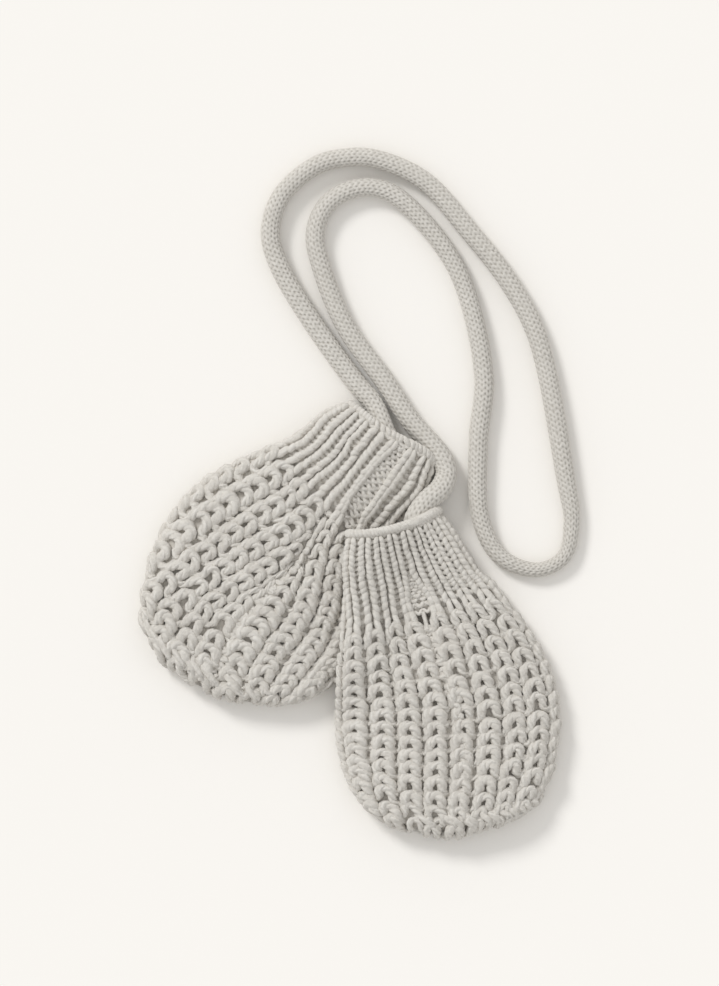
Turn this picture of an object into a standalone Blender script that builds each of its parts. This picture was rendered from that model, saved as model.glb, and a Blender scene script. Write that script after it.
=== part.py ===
"""A pair of thumbless baby mittens joined by a knitted cord, laid flat with one mitten on the other's edge.

Metres, +Z up, the surface that they lie on at Z = 0. The origin is under the middle of the two mittens.
Each mitten is a cuff and a hand: hollow cloth walls lofted through the rows of a short table, with the
ribs of the knitting raised on the upper side. The right mitten is carried by the left one where they
cross, and the cord runs from the mouth of one cuff to the mouth of the other.
"""

from collections import namedtuple

import bmesh
import bpy
import numpy as np
from mathutils import Vector
from mathutils.bvhtree import BVHTree

MM = 0.001

# The cloth
COLUMNS = 10  # ribs across the upper side of a mitten, and as many below
GAP = 0.3 * MM  # left between pieces that meet
SEAM_GAP = 0.36 * MM  # along the longer cuff, which gives no less than the gap on the shorter one
CUFF_WALL = 2.4 * MM
CUFF_RIB = 1.0 * MM
HAND_WALL = 3.0 * MM
HAND_RIB = 1.5 * MM
CUFF_LENGTH = 38 * MM
HAND_LENGTH = 91 * MM
TIP_ROUNDING = 9 * MM  # length over which the hand closes at its tip
EDGE_ROUNDING = 6 * MM  # width of the side rolls, beside the flat underside
EDGE_SHARE = 0.33  # height of the widest level, as a share of the whole height
CROWN_POWER = 3.0  # how square the upper side is across
WIDTH_TO_HEIGHT = 3.3  # rough shape of a section, by which its ribs are spaced evenly
LEAN_FROM, LEAN_TO = 0.1, 0.9  # where the left half's height gives way to the right half's
RIM_RIB = 0.6  # share of the ribs' height at the rim
RIM_FADE = 0.12  # share of the cuff over which they rise to their full height
TIP_FADE_FROM = 1.85  # where the ribs start to sink towards the tip
TIP_FADE = 0.6
BOW_POWER = 2.4  # how square a bowed row of stitches is
RIB_POWER = 0.6  # how round a rib is

# How the right mitten lies on the left one
LIFT_SLOPE = 0.9  # fall of its underside, beside what carries it
LIFT_REACH = 18 * MM
LIFT_MARGIN = 2.5 * MM  # width beside the carrier over which it doesn't fall yet
LIFT_CELL = 1.5 * MM
UNDERSIDE_SMOOTHING = 4  # passes over the cells, for the underside that is carried
CROWN_SMOOTHING = 24  # passes for the upper side, which follows more softly
CROWN_SHARE = 0.65  # how much of the lift reaches the upper side
LEAST_HEIGHT = 9.0 * MM

# Middle of the two mittens in the frame of the tables below, in millimetres
MIDDLE = np.array([0.31, -0.02])

# The cord
CORD_DIAMETER = 8.3 * MM
CORD_POINTS = 78
CORD_ROUNDNESS = 3  # bevel resolution, which gives a tube of ten sides

# Number of steps round and along each wall
UPPER_STEPS = {"hand": 6 * COLUMNS, "cuff": 4 * COLUMNS}
LOWER_STEPS = 20
INNER_STEPS = (20, 12)
OUTER_ROWS = {"hand": 14, "cuff": 7}
INNER_ROWS = {"hand": 7, "cuff": 4}
OUTER_TIP = (0.35, 0.62, 0.82, 0.95)
INNER_TIP = (0.5, 0.9)
RIM_STEPS = 4
ROLL_STEPS = 2  # points on each side roll, between its ends
FINE_STEPS = 400  # steps of the curves that are measured along their length

# A row of stitches, in millimetres: along is 0 at the rim, 1 at the wrist seam and 2 at the tip, left and
# right are its ends seen with the rim upwards, bow is how far its middle runs on towards the tip, and the
# heights are those of its left and right halves.
Row = namedtuple("Row", "along left_x left_y right_x right_y bow left_height right_height")

LEFT_ROWS = (
    Row(0.00, -0.6, 88.5, 33.2, 60.4, 1.0, 14.4, 12.0),
    Row(0.33, -11.2, 84.0, 26.8, 49.5, 0.8, 14.0, 10.6),
    Row(0.67, -20.9, 76.3, 18.6, 37.3, 0.4, 13.6, 9.8),
    Row(1.00, -30.2, 71.1, 9.5, 22.7, 0.0, 13.4, 9.6),
    Row(1.16, -44.9, 65.4, 7.9, 7.3, 0.8, 13.6, 9.6),
    Row(1.31, -59.1, 57.2, 6.7, -5.7, 2.0, 13.8, 9.6),
    Row(1.47, -71.3, 45.5, 4.3, -15.0, 3.7, 13.8, 9.8),
    Row(1.66, -81.0, 27.2, -0.2, -21.9, 6.1, 13.6, 10.6),
    Row(1.84, -85.1, 7.3, -6.3, -27.2, 9.3, 13.2, 11.4),
    Row(2.00, -83.4, -8.1, -14.4, -32.1, 13.2, 12.6, 12.0),
)

RIGHT_ROWS = (
    Row(0.00, -1.8, 34.5, 36.7, 44.3, 1.0, 18.2, 18.2),
    Row(0.33, -3.5, 22.7, 44.9, 31.7, 0.8, 17.2, 17.2),
    Row(0.67, -3.0, 10.6, 52.6, 19.5, 0.4, 14.8, 14.8),
    Row(1.00, -4.7, -7.7, 61.9, 10.6, 0.0, 13.4, 13.4),
    Row(1.15, -5.9, -19.1, 72.9, -4.1, 0.6, 13.6, 13.6),
    Row(1.32, -6.3, -31.3, 81.4, -20.3, 2.2, 13.8, 13.8),
    Row(1.50, -6.3, -43.4, 85.5, -38.2, 3.7, 13.8, 13.8),
    Row(1.68, -5.1, -55.6, 84.2, -54.4, 5.3, 13.6, 13.6),
    Row(1.85, -1.4, -67.0, 79.8, -69.0, 8.1, 13.2, 13.2),
    Row(2.00, 4.7, -77.5, 71.3, -78.8, 11.2, 12.6, 12.6),
)

# The cord's route in millimetres, from inside the left cuff's mouth to inside the right one's.
Point = namedtuple("Point", "x y z")

CORD_ROUTE = (
    Point(17.0, 69.0, 7.3),
    Point(12.6, 78.8, 7.3),
    Point(8.7, 87.7, 5.2),
    Point(1.4, 96.6, 4.2),
    Point(-15.9, 120.8, 4.2),
    Point(-29.0, 143.1, 4.2),
    Point(-32.6, 156.0, 4.2),
    Point(-28.4, 171.1, 4.2),
    Point(-14.0, 183.9, 4.2),
    Point(-2.2, 187.0, 4.2),
    Point(9.9, 186.6, 4.2),
    Point(29.8, 177.8, 4.2),
    Point(48.2, 157.3, 4.2),
    Point(63.8, 137.3, 4.2),
    Point(75.9, 114.1, 4.2),
    Point(87.5, 56.0, 4.2),
    Point(89.9, 39.0, 4.2),
    Point(86.7, 24.8, 4.2),
    Point(76.1, 19.5, 4.2),
    Point(61.1, 24.8, 4.2),
    Point(53.0, 39.8, 4.2),
    Point(52.0, 72.3, 4.2),
    Point(54.2, 98.0, 4.2),
    Point(45.3, 137.0, 4.2),
    Point(33.3, 156.7, 4.2),
    Point(18.1, 171.7, 4.2),
    Point(8.3, 175.0, 4.2),
    Point(-2.2, 173.2, 4.2),
    Point(-10.4, 166.9, 4.2),
    Point(-14.4, 156.0, 4.2),
    Point(-11.2, 140.5, 4.2),
    Point(-1.8, 118.1, 4.2),
    Point(13.6, 96.6, 4.2),
    Point(24.2, 80.4, 4.2),
    Point(36.2, 66.2, 4.4),
    Point(38.9, 59.3, 5.4),
    Point(36.8, 52.8, 8.2),
    Point(31.0, 47.5, 11.8),
    Point(26.3, 41.4, 13.5),
    Point(24.4, 33.6, 12.6),
)

WOOL = (0.55, 0.52, 0.47, 1.0)
CORD_WOOL = (0.58, 0.55, 0.50, 1.0)
WOOL_ROUGHNESS = 0.9


def clear_scene():
    """Remove every object, so that the file holds the mittens alone."""
    for item in list(bpy.data.objects):
        bpy.data.objects.remove(item, do_unlink=True)


def wool_material(name, colour):
    """A matt material in the yarn's colour."""
    material = bpy.data.materials.new(name)
    material.use_nodes = True
    shader = material.node_tree.nodes["Principled BSDF"]
    shader.inputs["Base Color"].default_value = colour
    shader.inputs["Roughness"].default_value = WOOL_ROUGHNESS
    shader.inputs["Metallic"].default_value = 0.0
    return material


def smooth_step(low, high, value):
    """0 below low, 1 above high and a smooth rise between them."""
    share = np.clip((value - low) / (high - low), 0.0, 1.0)
    return share * share * (3.0 - 2.0 * share)


def smooth_curve(knots, values, where):
    """Values on a smooth curve through the knots, which are spaced unevenly."""
    knots = np.asarray(knots, dtype=float)
    values = np.asarray(values, dtype=float)
    slopes = np.gradient(values, knots, axis=0)
    index = np.clip(np.searchsorted(knots, where) - 1, 0, len(knots) - 2)
    span = np.asarray(knots[index + 1] - knots[index])[..., None]
    share = np.asarray(where - knots[index])[..., None] / span
    square = share * share
    cube = square * share
    return (
        (2 * cube - 3 * square + 1) * values[index]
        + (cube - 2 * square + share) * span * slopes[index]
        + (3 * square - 2 * cube) * values[index + 1]
        + (cube - square) * span * slopes[index + 1]
    )


class Mitten:
    """The form of one mitten: its rows of stitches, and where each point of its walls lies."""

    def __init__(self, rows, carrier=None):
        self.knots = [row.along for row in rows]
        self.values = [row[1:] for row in rows]
        self.carrier = carrier

    def ring(self, along, inset, steps, shift=0.0, end=2.0, rib=0.0):
        """Points round the wall at one row: over the upper side, then back along the underside.

        inset is the depth below the outer face, shift moves the ring out of the mouth, end is where this
        face of the wall closes at the tip, and rib is the height of the ribs.
        """
        row = smooth_curve(self.knots, self.values, along) * MM
        middle = MIDDLE * MM
        left, right, bow = row[0:2] - middle, row[2:4] - middle, row[4]
        chord = right - left
        half = np.hypot(*chord) / 2
        onward = np.array([chord[1], -chord[0]]) / (2 * half)
        rounding = TIP_ROUNDING / HAND_LENGTH
        closing = np.clip((along - end + rounding) / rounding, 0.0, 1.0)
        fullness = np.sqrt(1 - closing * closing)

        across, share = self.outline(half - inset, steps, fullness)
        place = across / half
        plan = left + np.outer((place + 1) / 2, chord)
        plan += np.outer(bow * (1 - np.abs(place) ** BOW_POWER) - shift, onward)

        lean = smooth_step(LEAN_FROM, LEAN_TO, place)
        height = row[5] + (row[6] - row[5]) * lean
        base = np.zeros(len(plan))
        if self.carrier is not None:
            base = self.carrier.read(self.carrier.underside, plan)
            crown = self.carrier.read(self.carrier.crown, plan)
            height = np.maximum(height + CROWN_SHARE * crown - base, LEAST_HEIGHT)
        z = base + inset + share * (height - 2 * inset)
        points = np.column_stack([plan, z])
        if rib > 0:
            upper = steps[0]
            points[: upper + 1] += self.rib_offsets(points[: upper + 1], onward, rib)
        return points

    @staticmethod
    def rib_offsets(points, onward, rib):
        """How far each upper point of a ring moves out, square to the cloth, to form the ribs."""
        normals = np.cross([*onward, 0.0], np.gradient(points, axis=0))
        normals /= np.linalg.norm(normals, axis=1)[:, None]
        turns = np.linspace(0, COLUMNS, len(points)) % 1.0
        return normals * (rib * np.sin(np.pi * turns) ** RIB_POWER)[:, None]

    @staticmethod
    def outline(half, steps, fullness):
        """Offsets across and shares of the height, round a section of this half width."""
        upper, lower = steps
        fine = -np.cos(np.linspace(0, np.pi, FINE_STEPS))
        crown = EDGE_SHARE + (1 - EDGE_SHARE) * fullness * (1 - np.abs(fine) ** CROWN_POWER) ** (
            1 / CROWN_POWER
        )
        # The ribs are evenly spaced along the cloth, so the steps follow the curve's own length.
        length = np.cumsum(np.hypot(np.diff(fine) * WIDTH_TO_HEIGHT, np.diff(crown)))
        length = np.concatenate([[0.0], length]) / length[-1]
        top = np.interp(np.linspace(0, 1, upper + 1), length, fine)
        top_share = np.interp(top, fine, crown)

        flat = 1 - EDGE_ROUNDING / half
        turns = np.linspace(np.pi / 2, 0, ROLL_STEPS + 2)[1:-1]
        roll = flat + (1 - flat) * np.sin(turns)
        level = np.linspace(flat, -flat, lower - 2 * len(turns) - 1)
        bottom = np.concatenate([roll, level, -roll[::-1]])
        beyond = np.clip((np.abs(bottom) - flat) / (1 - flat), 0.0, 1.0)
        bottom_share = EDGE_SHARE * (1 - fullness * np.sqrt(1 - beyond**2))
        across = np.concatenate([top, bottom]) * half
        return across, np.concatenate([top_share, bottom_share])


def ring_shares(steps):
    """How far round each point of a ring is: 0 at the left edge and 0.5 at the right one."""
    upper, lower = steps
    return [0.5 * k / upper for k in range(upper + 1)] + [0.5 + 0.5 * k / lower for k in range(1, lower)]


def zip_strip(mesh, first, second, first_shares, second_shares):
    """Faces between two lines of points that may differ in number, closed up by their shares."""
    a, b = 0, 0
    while a < len(first) - 1 or b < len(second) - 1:
        ahead_a = first_shares[a + 1] if a < len(first) - 1 else np.inf
        ahead_b = second_shares[b + 1] if b < len(second) - 1 else np.inf
        if abs(ahead_a - ahead_b) < 1e-6:
            corners = [first[a], first[a + 1], second[b + 1], second[b]]
            a, b = a + 1, b + 1
        elif ahead_a < ahead_b:
            corners = [first[a], first[a + 1], second[b]]
            a += 1
        else:
            corners = [first[a], second[b + 1], second[b]]
            b += 1
        unique = list(dict.fromkeys(corners))
        if len(unique) > 2:
            mesh.faces.new(unique)


def skin_rings(mesh, rings, steps):
    """Faces between rings that follow each other; steps holds each ring's own counts."""
    for k in range(len(rings) - 1):
        shares = [ring_shares(steps[k]) + [1.0], ring_shares(steps[k + 1]) + [1.0]]
        zip_strip(mesh, rings[k] + rings[k][:1], rings[k + 1] + rings[k + 1][:1], *shares)


def close_tip(mesh, ring, steps):
    """The narrow face between the upper and lower halves of the last ring."""
    upper, lower = steps
    top = ring[: upper + 1]
    bottom = [ring[0]] + ring[upper + 1 :][::-1] + [ring[upper]]
    top_shares = [k / upper for k in range(upper + 1)]
    bottom_shares = [k / lower for k in range(lower + 1)]
    zip_strip(mesh, top, bottom, top_shares, bottom_shares)


def add_rings(mesh, rings):
    """Put each ring's points in the mesh and return its vertices, ring by ring."""
    return [[mesh.verts.new(Vector(point)) for point in ring] for ring in rings]


def finish_object(name, mesh, material, collection):
    """Turn the mesh into a named object with its material."""
    bmesh.ops.recalc_face_normals(mesh, faces=mesh.faces[:])
    data = bpy.data.meshes.new(name)
    mesh.to_mesh(data)
    mesh.free()
    data.shade_smooth()
    data.materials.append(material)
    item = bpy.data.objects.new(name, data)
    collection.objects.link(item)
    return item


def build_cuff(name, form, material, collection):
    """The ribbed cuff: a tube of cloth with a rolled rim at the mouth."""
    steps = (UPPER_STEPS["cuff"], LOWER_STEPS)
    last = 1 - SEAM_GAP / 2 / CUFF_LENGTH
    outer_rows = np.linspace(0, last, OUTER_ROWS["cuff"])
    inner_rows = np.linspace(last, 0, INNER_ROWS["cuff"])[:-1]

    mesh = bmesh.new()
    rolled = np.linspace(np.pi, 0, RIM_STEPS + 1)[:-1]
    rim = [
        form.ring(0, CUFF_WALL / 2 * (1 - np.cos(turn)), steps, CUFF_WALL / 2 * np.sin(turn))
        for turn in rolled
    ]
    ribs = CUFF_RIB * (RIM_RIB + (1 - RIM_RIB) * smooth_step(0, RIM_FADE, outer_rows))
    outer = [form.ring(along, 0, steps, rib=rib) for along, rib in zip(outer_rows, ribs)]
    inner = [form.ring(along, CUFF_WALL, INNER_STEPS) for along in inner_rows]
    rings = add_rings(mesh, rim + outer + inner)
    counts = [steps] * (len(rim) + len(outer)) + [INNER_STEPS] * len(inner)
    skin_rings(mesh, rings + rings[:1], counts + counts[:1])
    return finish_object(name, mesh, material, collection)


def build_hand(name, form, material, collection):
    """The ribbed bag: open at the wrist and gathered to a rounded tip."""
    steps = (UPPER_STEPS["hand"], LOWER_STEPS)
    first = 1 + SEAM_GAP / 2 / HAND_LENGTH
    outer_rows = tip_rows(first, 2.0, OUTER_ROWS["hand"], OUTER_TIP)
    inner_end = 2.0 - HAND_WALL / HAND_LENGTH
    inner_rows = tip_rows(first, inner_end, INNER_ROWS["hand"], INNER_TIP)

    mesh = bmesh.new()
    ribs = HAND_RIB * (1 - TIP_FADE * smooth_step(TIP_FADE_FROM, 2.0, outer_rows))
    outer = [form.ring(along, 0, steps, rib=rib) for along, rib in zip(outer_rows, ribs)]
    inner = [form.ring(along, HAND_WALL, INNER_STEPS, end=inner_end) for along in inner_rows]
    rings = add_rings(mesh, outer[::-1] + inner)
    counts = [steps] * len(outer) + [INNER_STEPS] * len(inner)
    skin_rings(mesh, rings, counts)
    close_tip(mesh, rings[0], steps)
    close_tip(mesh, rings[-1], INNER_STEPS)
    return finish_object(name, mesh, material, collection)


def tip_rows(first, end, count, closing):
    """Places of the rings along a hand, closer together where it closes at the tip."""
    start = end - TIP_ROUNDING / HAND_LENGTH
    shares = np.array(closing)
    return np.concatenate([np.linspace(first, start, count), start + shares * (end - start)])


class Carrier:
    """The cloth that another mitten is laid over, as two fields of heights on a grid of cells."""

    def __init__(self, items):
        trees = []
        corners = []
        for item in items:
            points = [item.matrix_world @ vertex.co for vertex in item.data.vertices]
            corners += points
            trees.append(BVHTree.FromPolygons(points, [face.vertices[:] for face in item.data.polygons]))
        corners = np.array(corners)
        margin = LIFT_REACH * 2
        self.low = corners[:, :2].min(axis=0) - margin
        self.count = ((corners[:, :2].max(axis=0) + margin - self.low) / LIFT_CELL).astype(int) + 1
        above = corners[:, 2].max() * 2  # rays start from here

        tops = np.zeros(self.count)
        for i, j in np.ndindex(*self.count):
            x, y = self.low + LIFT_CELL * np.array([i, j])
            for tree in trees:
                hit = tree.ray_cast(Vector((x, y, above)), Vector((0, 0, -1)))[0]
                if hit is not None:
                    tops[i, j] = max(tops[i, j], hit.z + 2 * GAP)
        spread = self.spread(tops)
        self.underside = np.maximum(spread, self.smooth(spread, UNDERSIDE_SMOOTHING))
        self.crown = self.smooth(spread, CROWN_SMOOTHING)

    @staticmethod
    def spread(tops):
        """The heights that cloth keeps, falling no more steeply than the slope beside its carrier."""
        reach = int(LIFT_REACH / LIFT_CELL)
        spread = tops.copy()
        for i in range(-reach, reach + 1):
            for j in range(-reach, reach + 1):
                fall = LIFT_SLOPE * max(0.0, LIFT_CELL * np.hypot(i, j) - LIFT_MARGIN)
                spread = np.maximum(spread, np.roll(tops, (i, j), axis=(0, 1)) - fall)
        return spread

    @staticmethod
    def smooth(field, passes):
        """The field, evened out between neighbouring cells and flat again where it is low."""
        for _ in range(passes):
            for axis in (0, 1):
                field = (np.roll(field, 1, axis) + 2 * field + np.roll(field, -1, axis)) / 4
        return np.where(field < GAP, 0.0, field - GAP)

    def read(self, field, plan):
        """The field's heights at these points of the plan."""
        cells = np.clip((plan - self.low) / LIFT_CELL, 0, self.count - 2)
        i, j = cells.astype(int).T
        x, y = (cells - cells.astype(int)).T
        near = field[i, j] * (1 - y) + field[i, j + 1] * y
        far = field[i + 1, j] * (1 - y) + field[i + 1, j + 1] * y
        return near * (1 - x) + far * x


def build_cord(material, collection):
    """The knitted cord: a round tube along a smooth curve through its route."""
    route = (np.array(CORD_ROUTE) - [*MIDDLE, 0.0]) * MM
    chords = np.sqrt(np.linalg.norm(np.diff(route, axis=0), axis=1))
    knots = np.concatenate([[0.0], np.cumsum(chords)])
    fine = smooth_curve(knots, route, np.linspace(0, knots[-1], FINE_STEPS * 5))
    length = np.concatenate([[0.0], np.cumsum(np.linalg.norm(np.diff(fine, axis=0), axis=1))])
    places = np.linspace(0, length[-1], CORD_POINTS)
    points = np.column_stack([np.interp(places, length, fine[:, axis]) for axis in range(3)])

    curve = bpy.data.curves.new("cord", "CURVE")
    curve.dimensions = "3D"
    curve.bevel_depth = CORD_DIAMETER / 2
    curve.bevel_resolution = CORD_ROUNDNESS
    curve.use_fill_caps = True
    spline = curve.splines.new("POLY")
    spline.points.add(len(points) - 1)
    for target, point in zip(spline.points, points):
        target.co = (*point, 1.0)
    curve.materials.append(material)
    item = bpy.data.objects.new("cord", curve)
    collection.objects.link(item)
    return item


def main():
    clear_scene()
    collection = bpy.data.collections.new("baby_mittens_on_a_cord")
    bpy.context.scene.collection.children.link(collection)

    left = Mitten(LEFT_ROWS)
    left_cuff = build_cuff("left_cuff", left, wool_material("left_cuff_wool", WOOL), collection)
    left_hand = build_hand("left_hand", left, wool_material("left_hand_wool", WOOL), collection)

    right = Mitten(RIGHT_ROWS, Carrier([left_cuff, left_hand]))
    build_cuff("right_cuff", right, wool_material("right_cuff_wool", WOOL), collection)
    build_hand("right_hand", right, wool_material("right_hand_wool", WOOL), collection)

    build_cord(wool_material("cord_wool", CORD_WOOL), collection)


main()
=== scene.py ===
"""Dress the pair of knitted baby mittens and its cord in yarn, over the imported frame.

Metres, +Z up, the floor at Z = 0. Every mitten is a thin cloth wall under courses of real yarn loops that
follow the same form as the CAD walls, and the cord is a tube whose skin is knitted in relief.
"""

import logging
import math
from dataclasses import dataclass, field
from enum import Enum
from typing import ClassVar, NamedTuple, Optional, Sequence

import bmesh
import bpy
import numpy as np
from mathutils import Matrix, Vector
from mathutils.bvhtree import BVHTree


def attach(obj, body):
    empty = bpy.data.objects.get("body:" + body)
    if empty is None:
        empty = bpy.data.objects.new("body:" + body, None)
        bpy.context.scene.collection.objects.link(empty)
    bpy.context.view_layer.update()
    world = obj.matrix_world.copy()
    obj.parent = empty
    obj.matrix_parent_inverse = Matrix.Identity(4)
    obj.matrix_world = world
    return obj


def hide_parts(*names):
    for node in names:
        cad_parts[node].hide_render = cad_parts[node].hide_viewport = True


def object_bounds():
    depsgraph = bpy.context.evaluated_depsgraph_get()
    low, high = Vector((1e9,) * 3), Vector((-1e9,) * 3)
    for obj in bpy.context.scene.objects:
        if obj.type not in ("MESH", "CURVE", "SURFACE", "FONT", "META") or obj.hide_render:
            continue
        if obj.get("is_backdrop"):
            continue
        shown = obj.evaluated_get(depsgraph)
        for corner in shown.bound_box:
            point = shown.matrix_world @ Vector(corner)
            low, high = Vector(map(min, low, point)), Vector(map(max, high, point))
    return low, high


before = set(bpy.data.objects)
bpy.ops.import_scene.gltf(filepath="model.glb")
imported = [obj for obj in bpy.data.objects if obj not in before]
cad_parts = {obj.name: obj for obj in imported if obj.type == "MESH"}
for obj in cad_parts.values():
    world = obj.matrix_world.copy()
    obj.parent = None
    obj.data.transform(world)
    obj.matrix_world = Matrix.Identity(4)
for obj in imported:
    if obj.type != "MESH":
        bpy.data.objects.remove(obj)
CAD_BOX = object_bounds()

LOG = logging.getLogger("mittens")
MM = 0.001
BODY = "root"
COLUMNS = 10  # ribs across the upper side of a mitten, and as many below
MIDDLE = np.array([0.31, -0.02])  # middle of the pair in the frame of the tables, in millimetres


class Row(NamedTuple):
    """A row of stitches in millimetres, as in the part's source.

    along is 0 at the rim, 1 at the wrist and 2 at the tip; left and right are the row's ends; bow is how
    far its middle runs on towards the tip; the heights are those of its left and right halves.
    """

    along: float
    left_x: float
    left_y: float
    right_x: float
    right_y: float
    bow: float
    left_height: float
    right_height: float


LEFT_ROWS = (
    Row(0.00, -0.6, 88.5, 33.2, 60.4, 1.0, 14.4, 12.0),
    Row(0.33, -11.2, 84.0, 26.8, 49.5, 0.8, 14.0, 10.6),
    Row(0.67, -20.9, 76.3, 18.6, 37.3, 0.4, 13.6, 9.8),
    Row(1.00, -30.2, 71.1, 9.5, 22.7, 0.0, 13.4, 9.6),
    Row(1.16, -44.9, 65.4, 7.9, 7.3, 0.8, 13.6, 9.6),
    Row(1.31, -59.1, 57.2, 6.7, -5.7, 2.0, 13.8, 9.6),
    Row(1.47, -71.3, 45.5, 4.3, -15.0, 3.7, 13.8, 9.8),
    Row(1.66, -81.0, 27.2, -0.2, -21.9, 6.1, 13.6, 10.6),
    Row(1.84, -85.1, 7.3, -6.3, -27.2, 9.3, 13.2, 11.4),
    Row(2.00, -83.4, -8.1, -14.4, -32.1, 13.2, 12.6, 12.0),
)

RIGHT_ROWS = (
    Row(0.00, -1.8, 34.5, 36.7, 44.3, 3.4, 18.2, 18.2),
    Row(0.33, -3.5, 22.7, 44.9, 31.7, 1.6, 17.2, 17.2),
    Row(0.67, -3.0, 10.6, 52.6, 19.5, 0.4, 14.8, 14.8),
    Row(1.00, -4.7, -7.7, 61.9, 10.6, 0.0, 13.4, 13.4),
    Row(1.15, -5.9, -19.1, 72.9, -4.1, 0.6, 13.6, 13.6),
    Row(1.32, -6.3, -31.3, 81.4, -20.3, 2.2, 13.8, 13.8),
    Row(1.50, -6.3, -43.4, 85.5, -38.2, 3.7, 13.8, 13.8),
    Row(1.68, -5.1, -55.6, 84.2, -54.4, 5.3, 13.6, 13.6),
    Row(1.85, -1.4, -67.0, 79.8, -69.0, 8.1, 13.2, 13.2),
    Row(2.00, 4.7, -77.5, 71.3, -78.8, 11.2, 12.6, 12.6),
)

# The cord's route in millimetres before the middle is taken off, from inside the left mouth to inside the
# right one, as in the part's source.
CORD_ROUTE = (
    (17.0, 69.0, 7.3), (12.6, 78.8, 7.3), (8.7, 87.7, 5.2), (1.4, 96.6, 4.2), (-15.9, 120.8, 4.2),
    (-29.0, 143.1, 4.2), (-32.6, 156.0, 4.2), (-28.4, 171.1, 4.2), (-14.0, 183.9, 4.2),
    (-2.2, 187.0, 4.2), (9.9, 186.6, 4.2), (29.8, 177.8, 4.2), (48.2, 157.3, 4.2), (63.8, 137.3, 4.2),
    (75.9, 114.1, 4.2), (87.5, 56.0, 4.2), (89.9, 39.0, 4.2), (86.7, 24.8, 4.2), (76.1, 19.5, 4.2),
    (61.1, 24.8, 4.2), (53.0, 39.8, 4.2), (52.0, 72.3, 4.2), (54.2, 98.0, 4.2), (45.3, 137.0, 4.2),
    (33.3, 156.7, 4.2), (18.1, 171.7, 4.2), (8.3, 175.0, 4.2), (-2.2, 173.2, 4.2), (-10.4, 166.9, 4.2),
    (-14.4, 156.0, 4.2), (-11.2, 140.5, 4.2), (-1.8, 118.1, 4.2), (13.6, 96.6, 4.2), (24.2, 80.4, 4.2),
    (36.2, 66.2, 4.4), (38.9, 59.3, 5.4), (36.8, 52.8, 8.2), (31.0, 47.5, 11.8), (26.3, 41.4, 13.5),
    (24.4, 33.6, 12.6),
)


class Side(Enum):
    """Which mitten of the pair, as seen in the photograph."""

    LEFT = "left"
    RIGHT = "right"


# Helpers


def smooth_step(low: float, high: float, value: np.ndarray) -> np.ndarray:
    """Return 0 below low, 1 above high and a smooth rise between them."""
    share = np.clip((np.asarray(value, dtype=float) - low) / (high - low), 0.0, 1.0)
    return share * share * (3.0 - 2.0 * share)


def smooth_curve(knots: Sequence[float], values: np.ndarray, where: np.ndarray) -> np.ndarray:
    """Read a smooth curve through unevenly spaced knots.

    Args:
        knots: Places of the known values, rising.
        values: One row of values for each knot.
        where: Places to read, one or many.

    Returns:
        The values there, one row for each place.
    """
    knots = np.asarray(knots, dtype=float)
    values = np.asarray(values, dtype=float)
    slopes = np.gradient(values, knots, axis=0)
    index = np.clip(np.searchsorted(knots, where) - 1, 0, len(knots) - 2)
    span = np.asarray(knots[index + 1] - knots[index])[..., None]
    share = np.asarray(where - knots[index])[..., None] / span
    square = share * share
    cube = square * share
    return (
        (2 * cube - 3 * square + 1) * values[index]
        + (cube - 2 * square + share) * span * slopes[index]
        + (3 * square - 2 * cube) * values[index + 1]
        + (cube - square) * span * slopes[index + 1]
    )


def closed_spline(points: np.ndarray, samples: int) -> np.ndarray:
    """Run a smooth closed curve through points.

    Args:
        points: One row for each control point.
        samples: Points made for each span.

    Returns:
        The sampled curve, one row for each point, without a repeated end.
    """
    before, after, beyond = np.roll(points, 1, 0), np.roll(points, -1, 0), np.roll(points, -2, 0)
    made = []
    for k in range(samples):
        t = k / samples
        made.append(
            0.5
            * (
                2 * points
                + (after - before) * t
                + (2 * before - 5 * points + 4 * after - beyond) * t**2
                + (3 * points - before - 3 * after + beyond) * t**3
            )
        )
    return np.stack(made, axis=1).reshape(-1, points.shape[1])


def blend(
    grid: np.ndarray,
    low: tuple[np.ndarray, np.ndarray],
    high: tuple[np.ndarray, np.ndarray],
    x: np.ndarray,
    y: np.ndarray,
) -> np.ndarray:
    """Read a grid between its nodes.

    Args:
        grid: The values.
        low: The two indices of each place's first node.
        high: Those of the node across the cell from it.
        x: Share of the way along the first index.
        y: Share of the way along the second.

    Returns:
        The values at the places.
    """
    near = grid[low] * (1 - y) + grid[low[0], high[1]] * y
    far = grid[high[0], low[1]] * (1 - y) + grid[high] * y
    return near * (1 - x) + far * x


def link(item: bpy.types.Object) -> bpy.types.Object:
    """Link an object to the scene and return it."""
    bpy.context.scene.collection.objects.link(item)
    return item


# Finishes


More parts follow.
